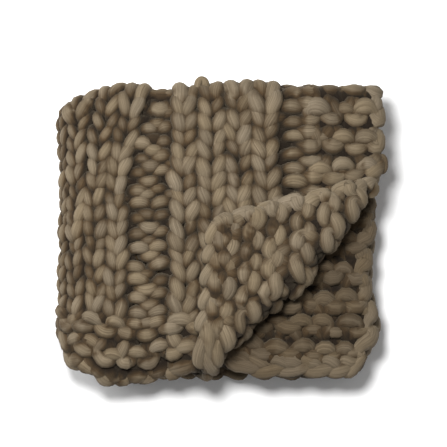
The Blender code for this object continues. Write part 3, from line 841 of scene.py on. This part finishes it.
for name, middle, reach, rise, radius in rowsOf(slackYarn, "name", "middle", "reach", "rise", "radius"):
    points, facing, radii = slackPath(middle, reach, rise, radius)
    piece, yarnLength = yarnTube(name, points, facing, 2 * radii, radii, slackYarn["sides"], yarnLength)
    piece.data.materials.append(wool)
    yarnPieces.append(piece)


# How much other yarn lies just outside each point. The yarn is marked on a grid of small cubes, from points under
# its surface, the marks are spread by a running mean of three cubes along each axis, and their mean is read at
# points over the surface.
def yarnOutside(places, facings):
    cube = pressAndPaintedShade["cube"]
    margin = pressAndPaintedShade["margin"] * cube
    low = places.min(axis=0) - margin
    marks = np.zeros(tuple(((places.max(axis=0) + margin - low) / cube).astype(int) + 1))
    for depth in pressAndPaintedShade["inside"]:
        marks[tuple(((places - depth * facings - low) / cube).astype(int).T)] = 1.0
    for axis in range(3):
        marks = (np.roll(marks, 1, axis) + marks + np.roll(marks, -1, axis)) / 3
    counts = []
    for out in pressAndPaintedShade["outside"]:
        counts.append(marks[tuple(((places + out * facings - low) / cube).astype(int).T)])
    return sum(counts) / len(counts)


# The shade that the turned-back corner leaves on the layer under it: strength exp(-(distance / reach)^2) beyond the
# turning line, for what lies lower than the corner
def shadeUnderCorner(places):
    start = np.array(turn["start"])
    run = np.array(turn["end"]) - start
    run = run / np.linalg.norm(run)
    beyond = (places[:, :2] - start) @ np.array([run[1], -run[0]])
    lower = 1 - easedShare(places[:, 2], cornerShade["under"])
    beginning = easedShare(beyond, [-cornerShade["start"], 0.0])
    fall = np.exp(-((np.clip(beyond, 0.0, None) / cornerShade["reach"]) ** 2))
    return cornerShade["strength"] * lower * beginning * fall


# Soft loops press each other in where they meet: each point moves in by depth times the eased share of yarn outside
# it. The painted-shade attribute ends as 1 at free edges and high places, where the wool keeps its own colour,
# falls to 0 in the deepest hollows, where it is painted darkest, and is less under the turned-back corner, as a
# painted shadow.
def pressYarnAndPaintShade(pieces):
    places, facings = [], []
    for piece in pieces:
        flat = np.empty(3 * len(piece.data.vertices), dtype=np.float32)
        piece.data.vertices.foreach_get("co", flat)
        places.append(flat.reshape(-1, 3).astype(float))
        piece.data.vertex_normals.foreach_get("vector", flat)
        facings.append(flat.reshape(-1, 3).astype(float))
    allPlaces, allFacings = np.concatenate(places), np.concatenate(facings)
    count = yarnOutside(allPlaces, allFacings)
    print("yarn outside each point, percentiles", np.round(np.percentile(count, [5, 25, 50, 75, 95]), 2))
    allPlaces = allPlaces - pressAndPaintedShade["depth"] * easedShare(count, pressAndPaintedShade["seen"])[:, None] * allFacings
    allPlaces[:, 2] = np.maximum(allPlaces[:, 2], 0.0)
    # Painted shade: the more yarn lies outside a point, the darker its colour is painted; free edges keep the
    # wool's own colour
    closed = easedShare(count, pressAndPaintedShade["shaded"])
    free = 1 - easedShare(count, pressAndPaintedShade["free"])
    # Painted shadow of the turned-back corner on the layer under it
    lit = 1 - shadeUnderCorner(allPlaces)
    ends = np.cumsum([len(place) for place in places])[:-1]
    parts = zip(pieces, *[np.split(values, ends) for values in (allPlaces, closed, free, lit)])
    for piece, moved, closedPart, freePart, litPart in parts:
        piece.data.vertices.foreach_set("co", moved.astype(np.float32).ravel())
        openForPaintedShade = np.empty(len(moved), dtype=np.float32)
        piece.data.attributes["paintedShadeOpenness"].data.foreach_get("value", openForPaintedShade)
        openForPaintedShade = np.maximum(openForPaintedShade, freePart) * (1 - closedPart) * litPart
        piece.data.attributes["paintedShadeOpenness"].data.foreach_set("value", openForPaintedShade.astype(np.float32))
        piece.data.update()


pressYarnAndPaintShade(yarnPieces)

# The cloth's middle, a thin sheet behind the stitches, painted dark so that the gaps between them show as painted
# shadow
clothGrid = {"across": 112, "up": 168, "inset": 0.025, "sinkShare": 0.9, "lowest": 0.001}


# A grid of points over the flat cloth, carried through the folds
def clothShadowSheet():
    across, up = np.meshgrid(
        np.linspace(clothGrid["inset"], clothWidth - clothGrid["inset"], clothGrid["across"] + 1),
        np.linspace(clothGrid["inset"], clothLength - clothGrid["inset"], clothGrid["up"] + 1),
        indexing="ij",
    )
    sink = np.interp(across, waleStart + waleWidth / 2, waleSink)
    points, _ = onFoldedCloth(across, up, -clothGrid["sinkShare"] * sink)
    points[..., 2] = np.maximum(points[..., 2], clothGrid["lowest"])
    index = np.arange(points[..., 0].size).reshape(across.shape)
    quads = np.stack([index[:-1, :-1], index[:-1, 1:], index[1:, 1:], index[1:, :-1]], axis=-1).reshape(-1, 4)
    mesh = bpy.data.meshes.new("knitted_cloth_shadow_sheet")
    mesh.from_pydata(points.reshape(-1, 3).tolist(), [], quads.tolist())
    mesh.shade_smooth()
    obj = bpy.data.objects.new("knitted_cloth_shadow_sheet", mesh)
    bpy.context.scene.collection.objects.link(obj)
    return obj


cloth = clothShadowSheet()
cloth.data.materials.append(insideShadow)
for piece in [cloth] + yarnPieces:
    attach(piece, "root")
    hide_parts("knit_throw")
print("cloth sheet", len(cloth.data.polygons), "faces")

# Studio: a plain white paper floor, a soft key light nearly overhead, a large low fill at the far left and a pale
# surround
studio = {"floorSize": 8.0, "floorTop": -0.0006, "floorWhite": 0.93, "floorRoughness": 0.9, "world": 0.32}
bpy.ops.mesh.primitive_plane_add(size=studio["floorSize"], location=(0, 0, studio["floorTop"]))
floor = bpy.context.object
floor.name = "floor"
floorMaterial = bpy.data.materials.new("paperFloor")
floorMaterial.use_nodes = True
floorShader = floorMaterial.node_tree.nodes["Principled BSDF"]
floorShader.inputs["Base Color"].default_value = [studio["floorWhite"]] * 3 + [1.0]
floorShader.inputs["Roughness"].default_value = studio["floorRoughness"]
floor.data.materials.append(floorMaterial)

lights = {
    "name": ["key", "fill"],
    "place": [(-0.17, 0.15, 1.3), (-1.1, 0.45, 0.75)],
    "size": [0.42, 1.0],
    "power": [27.5, 11.5],
}
for name, place, size, power in rowsOf(lights, "name", "place", "size", "power"):
    light = bpy.data.lights.new(name, "AREA")
    light.shape = "DISK"
    light.size = size
    light.energy = power
    lamp = bpy.data.objects.new(name, light)
    lamp.location = place
    aim = -np.array(place)
    lamp.rotation_euler = (
        math.atan2(math.hypot(aim[0], aim[1]), -aim[2]),
        0.0,
        math.atan2(aim[1], aim[0]) - math.pi / 2,
    )
    bpy.context.scene.collection.objects.link(lamp)

world = bpy.data.worlds.new("paleRoom")
world.use_nodes = True
world.node_tree.nodes["Background"].inputs[0].default_value = (1.0, 1.0, 1.0, 1.0)
world.node_tree.nodes["Background"].inputs[1].default_value = studio["world"]
bpy.context.scene.world = world
bpy.context.scene.view_settings.view_transform = "Standard"

# Camera: nearly overhead, leaning a little to the near side
cameraPlace = {"elevation": 82.0, "distance": 2.6, "target": (-0.0024, 0.0171, 0.095), "lens": 147.4}
elevation = math.radians(cameraPlace["elevation"])
camera = bpy.data.objects.new("camera", bpy.data.cameras.new("camera"))
target = np.array(cameraPlace["target"])
camera.location = target + cameraPlace["distance"] * np.array([0.0, -math.cos(elevation), math.sin(elevation)])
camera.rotation_euler = (math.pi / 2 - elevation, 0.0, 0.0)
camera.data.lens = cameraPlace["lens"]
bpy.context.scene.collection.objects.link(camera)
bpy.context.scene.camera = camera
